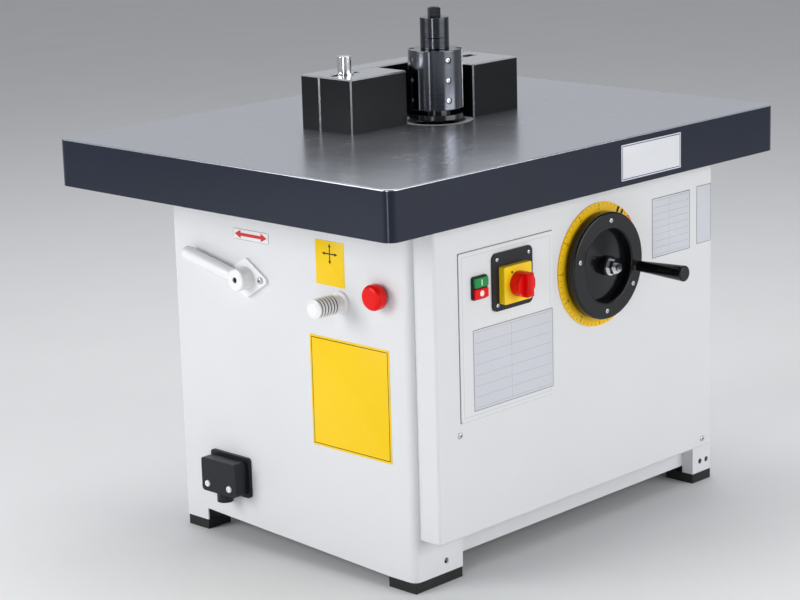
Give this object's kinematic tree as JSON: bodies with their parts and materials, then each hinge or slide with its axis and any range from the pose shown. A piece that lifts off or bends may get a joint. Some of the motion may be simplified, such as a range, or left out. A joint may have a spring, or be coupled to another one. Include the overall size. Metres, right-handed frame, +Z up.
{
  "type": "spindle moulder",
  "caption": "Floor-standing spindle moulder: cast table on a sheet cabinet, vertical cutter spindle raised by a front handwheel, with fence blocks, switchgear, clamp lever and lock knob.",
  "frame": {"origin": "on the floor, under the middle of the box that holds the whole machine", "axes": "+X to the operator's right along the front, -Y towards the operator, +Z up"},
  "size_m": [1.154, 1.0246, 1.048],
  "materials": {
    "cabinet_paint": "smooth off-white enamel",
    "pad_rubber": "matt black",
    "table_iron": "ground top, dark painted skirt",
    "bright_steel": "turned and ground",
    "black_steel": "black finish",
    "black_gloss": "gloss black",
    "black_plastic": "matt black",
    "yellow_plastic": "signal yellow",
    "dial_yellow": "yellow scale ring",
    "red_plastic": "signal red",
    "green_plastic": "green",
    "white_plastic": "off-white",
    "white_metal": "off-white enamel",
    "chrome": "polished",
    "grey_iron": "as cast, machined faces",
    "brass": "turned",
    "belt_rubber": "flat belt",
    "motor_alloy": "dark painted alloy"
  },
  "bodies": {
    "frame": {"cabinet_left": "cabinet_paint", "cabinet_right": "cabinet_paint", "cabinet_rear": "cabinet_paint", "cabinet_front": "cabinet_paint", "foot_pads": "pad_rubber", "table": "table_iron", "table_ring": "bright_steel", "control_cover": "cabinet_paint", "control_panel": "cabinet_paint", "switch_plate": "black_plastic", "switch_block": "yellow_plastic", "button_bezel": "black_plastic", "dial_ring": "dial_yellow", "shaft_bushing": "brass", "gear_bracket": "grey_iron", "screw_bearing": "grey_iron", "guide_columns": "bright_steel", "column_tie": "grey_iron", "fence_bridge": "black_steel", "fence_studs": "bright_steel", "lever_flange": "white_metal", "lock_sleeve": "white_plastic", "stop_collar": "black_plastic", "inlet_box": "black_plastic", "inlet_gland": "black_plastic"},
    "wheel": {"handwheel": "black_gloss", "wheel_nut": "chrome", "crank_pin": "bright_steel", "wheel_shaft": "bright_steel", "bevel_pinion": "grey_iron"},
    "grip": {"crank_grip": "black_gloss"},
    "screw": {"lead_screw": "bright_steel", "bevel_gear": "grey_iron"},
    "lift": {"carriage": "grey_iron", "lead_nut": "brass", "quill": "grey_iron", "spindle_bearings": "bright_steel", "motor_bracket": "grey_iron", "motor": "motor_alloy", "belt": "belt_rubber"},
    "spindle": {"spindle_shaft": "bright_steel", "spindle_flange": "black_steel", "cutter_block": "bright_steel", "cutter_knives": "bright_steel", "lower_spacer": "bright_steel", "upper_spacer": "bright_steel", "spindle_nut": "bright_steel", "spindle_pulley": "grey_iron"},
    "rotor": {"motor_pulley": "grey_iron"},
    "clamp": {"clamp_lever": "white_metal", "lever_shaft": "bright_steel"},
    "lock": {"lock_knob": "white_plastic"},
    "stop": {"stop_head": "red_plastic"},
    "start_button": {"green_button": "green_plastic"},
    "halt_button": {"red_button": "red_plastic"},
    "isolator": {"switch_knob": "red_plastic"},
    "left_fence": {"fence_left": "black_steel"},
    "right_fence": {"fence_right": "black_steel"},
    "fence_clamp": {"fence_nut": "chrome"}
  },
  "joints": [
    {"name": "wheel_turn", "type": "hinge", "parent": "frame", "child": "wheel", "pos_m": [0.056, -0.37125, 0.562], "axis": [0, 1, 0], "range_deg": [-1800, 1440]},
    {"name": "carriage_lift", "type": "slide", "parent": "frame", "child": "lift", "axis": [0, 0, 1], "range_m": [-0.05, 0.04]},
    {"name": "screw_turn", "type": "hinge", "parent": "frame", "child": "screw", "pos_m": [0.056, -0.07525, 0.6], "axis": [0, 0, 1], "range_deg": [-1440, 1800]},
    {"name": "grip_spin", "type": "hinge", "parent": "wheel", "child": "grip", "pos_m": [0.14463, -0.47125, 0.54637], "axis": [0, 1, 0], "continuous": true},
    {"name": "spindle_spin", "type": "hinge", "parent": "lift", "child": "spindle", "pos_m": [0.025, 0.03175, 0.9], "axis": [0, 0, 1], "continuous": true},
    {"name": "motor_spin", "type": "hinge", "parent": "lift", "child": "rotor", "pos_m": [0.025, 0.22175, 0.51], "axis": [0, 0, 1], "continuous": true},
    {"name": "clamp_turn", "type": "hinge", "parent": "frame", "child": "clamp", "pos_m": [-0.45, 0.12275, 0.557], "axis": [1, 0, 0], "range_deg": [-40, 40]},
    {"name": "lock_slide", "type": "slide", "parent": "frame", "child": "lock", "axis": [1, 0, 0], "range_m": [0, 0.004]},
    {"name": "stop_press", "type": "slide", "parent": "frame", "child": "stop", "axis": [1, 0, 0], "range_m": [0, 0.006], "stiffness_N_per_m": 1500},
    {"name": "start_press", "type": "slide", "parent": "frame", "child": "start_button", "axis": [0, 1, 0], "range_m": [0, 0.003], "stiffness_N_per_m": 800},
    {"name": "halt_press", "type": "slide", "parent": "frame", "child": "halt_button", "axis": [0, 1, 0], "range_m": [0, 0.003], "stiffness_N_per_m": 800},
    {"name": "isolator_turn", "type": "hinge", "parent": "frame", "child": "isolator", "pos_m": [-0.205, -0.39425, 0.576], "axis": [0, 1, 0], "range_deg": [0, 90]},
    {"name": "left_fence_slide", "type": "slide", "parent": "frame", "child": "left_fence", "axis": [1, 0, 0], "range_m": [-0.025, 0.012]},
    {"name": "right_fence_slide", "type": "slide", "parent": "frame", "child": "right_fence", "axis": [1, 0, 0], "range_m": [-0.005, 0.02]},
    {"name": "fence_nut_turn", "type": "hinge", "parent": "frame", "child": "fence_clamp", "pos_m": [-0.159, 0.10875, 0.94], "axis": [0, 0, 1], "range_deg": [0, 360]}
  ],
  "couplings": [
    {"joint": "carriage_lift", "follows": "wheel_turn", "m_per_rad": 0.0015915},
    {"joint": "screw_turn", "follows": "wheel_turn", "ratio": -1},
    {"joint": "motor_spin", "follows": "spindle_spin", "ratio": 0.62963}
  ]
}
